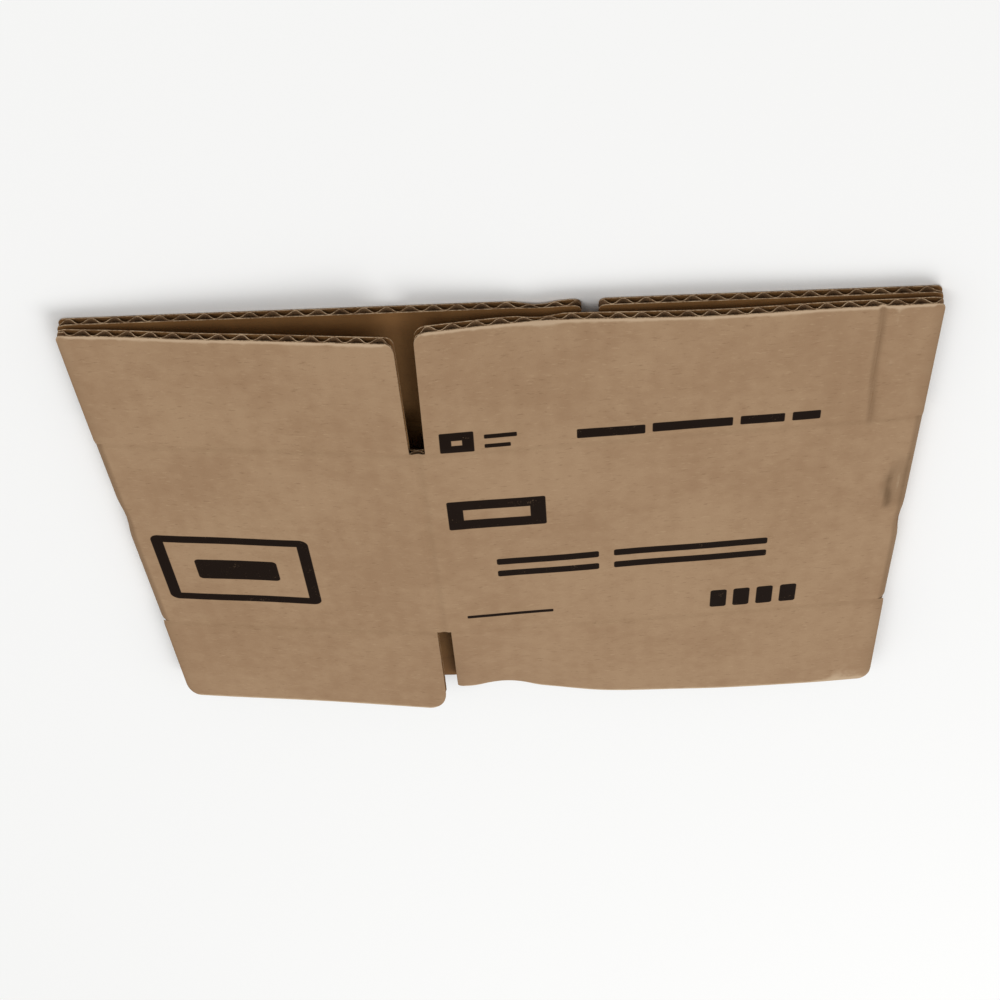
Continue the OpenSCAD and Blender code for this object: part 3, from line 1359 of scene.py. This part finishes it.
@dataclass(frozen=True)
class PlainKraftWithPaintedShade:
    """Inner liner and the insides of the flutes: plain kraft, warmer and darker, the darkening being
    painted shade for the shadowed depths seen through the slots.
    """

    # Kraft colours darkened and warmed below the board's own tone: painted shade for the slots' shadowed
    # depths.
    kraft: Colour = linear(144, 104, 60)
    shade: Colour = linear(126, 89, 50)
    fleck: Colour = linear(102, 70, 40)
    rough: float = 0.86
    rough_spread: float = 0.12
    relief: float = 0.00006
    fibre_turn: float = 0.6
    fibre_stretch: Place = (0.25, 1.6, 1.0)
    dark_fibres: float = 0.45
    grain_shade: float = 0.3

    def build(self) -> bpy.types.Material:
        """Build the material.

        Returns:
            The finished material.
        """
        sh = Shader("plain_kraft_and_painted_shade")
        where = sh.place()
        cloud = sh.noise(where, size=24.0, detail=3.0)
        fibres = sh.stretch(where, self.fibre_turn, self.fibre_stretch)
        fibre = sh.noise(fibres, size=1.2, detail=3.0, rough=0.6)
        grain = sh.noise(where, size=0.5, detail=2.0, rough=0.6)
        colour = sh.mix(sh.fade(cloud, low=0.35, high=0.65), self.shade, self.kraft)
        colour = sh.mix(sh.fade(fibre, low=0.56, high=0.74) * self.dark_fibres, colour, self.fleck)
        colour = sh.mix(grain * self.grain_shade, colour, self.shade)
        rough = self.rough + (grain - 0.5) * self.rough_spread
        return sh.surface(colour, rough, grain * 0.6 + fibre * 0.4, self.relief)


@dataclass(frozen=True)
class BareFibre:
    """Bare fibres in two tones, from a fine grain and a broad cloud of given sizes."""

    name: str
    pale: Colour
    dark: Colour
    grain: float
    grain_share: float
    cloud: float
    cloud_detail: float
    softness: float
    relief: float
    rough: float = 0.88
    rough_spread: float = 0.1

    def build(self) -> bpy.types.Material:
        """Build the material.

        Returns:
            The finished material.
        """
        sh = Shader(self.name)
        where = sh.place()
        grain = sh.noise(where, self.grain, detail=3.0, rough=0.65)
        cloud = sh.noise(where, self.cloud, self.cloud_detail)
        tone = grain * self.grain_share + cloud * (1.0 - self.grain_share)
        tone = sh.fade(tone, 0.5 - self.softness, 0.5 + self.softness)
        rough = self.rough + (grain - 0.5) * self.rough_spread
        return sh.surface(sh.mix(tone, self.dark, self.pale), rough, grain, self.relief)


RAW_EDGE = BareFibre(
    "raw_edge", linear(190, 163, 131), linear(120, 92, 66), grain=0.8, grain_share=0.6,
    cloud=7.0, cloud_detail=2.0, softness=0.12, relief=0.0001)
FLUTING = BareFibre(
    "fluting", linear(142, 110, 78), linear(112, 84, 58), grain=0.5, grain_share=0.5,
    cloud=6.0, cloud_detail=3.0, softness=0.15, relief=0.00008)


@dataclass(frozen=True)
class Lamp:
    """Square soft lamp that faces the carton: its place and side in metres, its power in watts."""

    name: str
    place: Place
    side: float
    power: float

    def build(self) -> None:
        """Hang the lamp."""
        light = bpy.data.lights.new(self.name, "AREA")
        light.shape, light.size, light.energy = "SQUARE", self.side, self.power
        lamp = bpy.data.objects.new(self.name, light)
        lamp.location = self.place
        lamp.rotation_euler = (-Vector(self.place)).to_track_quat("-Z", "Y").to_euler()
        bpy.context.scene.collection.objects.link(lamp)


@dataclass(frozen=True)
class Studio:
    """Pale floor, soft lamps and the camera. Lengths are in metres and angles in degrees."""

    floor_half: float = 3.0
    floor_drop: float = 0.0002
    floor_colour: Colour = linear(249, 249, 248)
    floor_shade: Colour = linear(238, 237, 235)
    floor_mottle: float = 400.0
    floor_cloud: float = 0.12
    floor_rough: float = 0.9
    floor_specular: float = 0.1
    world_strength: float = 0.5
    lamps: tuple[Lamp, ...] = (
        Lamp("key_lamp", (-1.0, 1.3, 1.9), 1.3, 14.6),
        Lamp("fill_lamp", (0.9, -1.2, 1.9), 1.6, 28.0),
    )
    target: Place = (-0.00376, 0.01243, 0.005)
    azimuth: float = 177.06
    elevation: float = 34.86
    roll: float = -0.243
    distance: float = 0.61563
    lens: float = 67.95
    sensor: float = 36.0
    nearest: float = 0.01

    def build_floor(self) -> None:
        """Lay the floor just under the carton."""
        half, low = self.floor_half, -self.floor_drop
        rim = [(-half, -half, low), (half, -half, low), (half, half, low), (-half, half, low)]
        mesh = bpy.data.meshes.new("floor")
        mesh.from_pydata(rim, [], [(0, 1, 2, 3)])
        sh = Shader("floor_paper")
        tone = sh.noise(sh.place(), self.floor_mottle)
        colour = sh.mix(tone * self.floor_cloud, self.floor_colour, self.floor_shade)
        mesh.materials.append(sh.surface(colour, self.floor_rough, None, 0.0, self.floor_specular))
        floor = bpy.data.objects.new("floor", mesh)
        bpy.context.scene.collection.objects.link(floor)

    def build_world(self) -> None:
        """Fill the room with even white light."""
        world = bpy.data.worlds.new("room")
        world.use_nodes = True
        back = world.node_tree.nodes["Background"]
        back.inputs["Color"].default_value = (1.0, 1.0, 1.0, 1.0)
        back.inputs["Strength"].default_value = self.world_strength
        bpy.context.scene.world = world

    def build_camera(self) -> None:
        """Set the camera above the top flaps, with the flutes upright in the picture."""
        turn, tilt = math.radians(self.azimuth), math.radians(self.elevation)
        back = Vector((math.sin(turn) * math.cos(tilt), -math.cos(turn) * math.cos(tilt), math.sin(tilt)))
        level = Vector((0.0, 0.0, -1.0)).cross(back).normalized()
        right = Matrix.Rotation(math.radians(self.roll), 3, back) @ level
        up = back.cross(right)
        lens = bpy.data.cameras.new("camera")
        lens.lens, lens.sensor_width, lens.sensor_fit = self.lens, self.sensor, "HORIZONTAL"
        lens.clip_start = self.nearest
        camera = bpy.data.objects.new("camera", lens)
        turned = Matrix((right, up, back)).transposed().to_4x4()
        camera.matrix_world = Matrix.Translation(Vector(self.target) + back * self.distance) @ turned
        bpy.context.scene.collection.objects.link(camera)
        bpy.context.scene.camera = camera

    def build(self) -> None:
        """Set up the whole studio."""
        self.build_world()
        self.build_floor()
        for lamp in self.lamps:
            lamp.build()
        self.build_camera()
        bpy.context.scene.view_settings.view_transform = "Standard"


def main() -> None:
    """Build the studio and the carton."""
    logging.basicConfig(level=logging.INFO)
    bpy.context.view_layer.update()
    Studio().build()
    board = Carton().build()
    LOG.info("%s: %d points, %d faces", board.name, len(board.data.vertices), len(board.data.polygons))


if __name__ == "__main__":
    main()
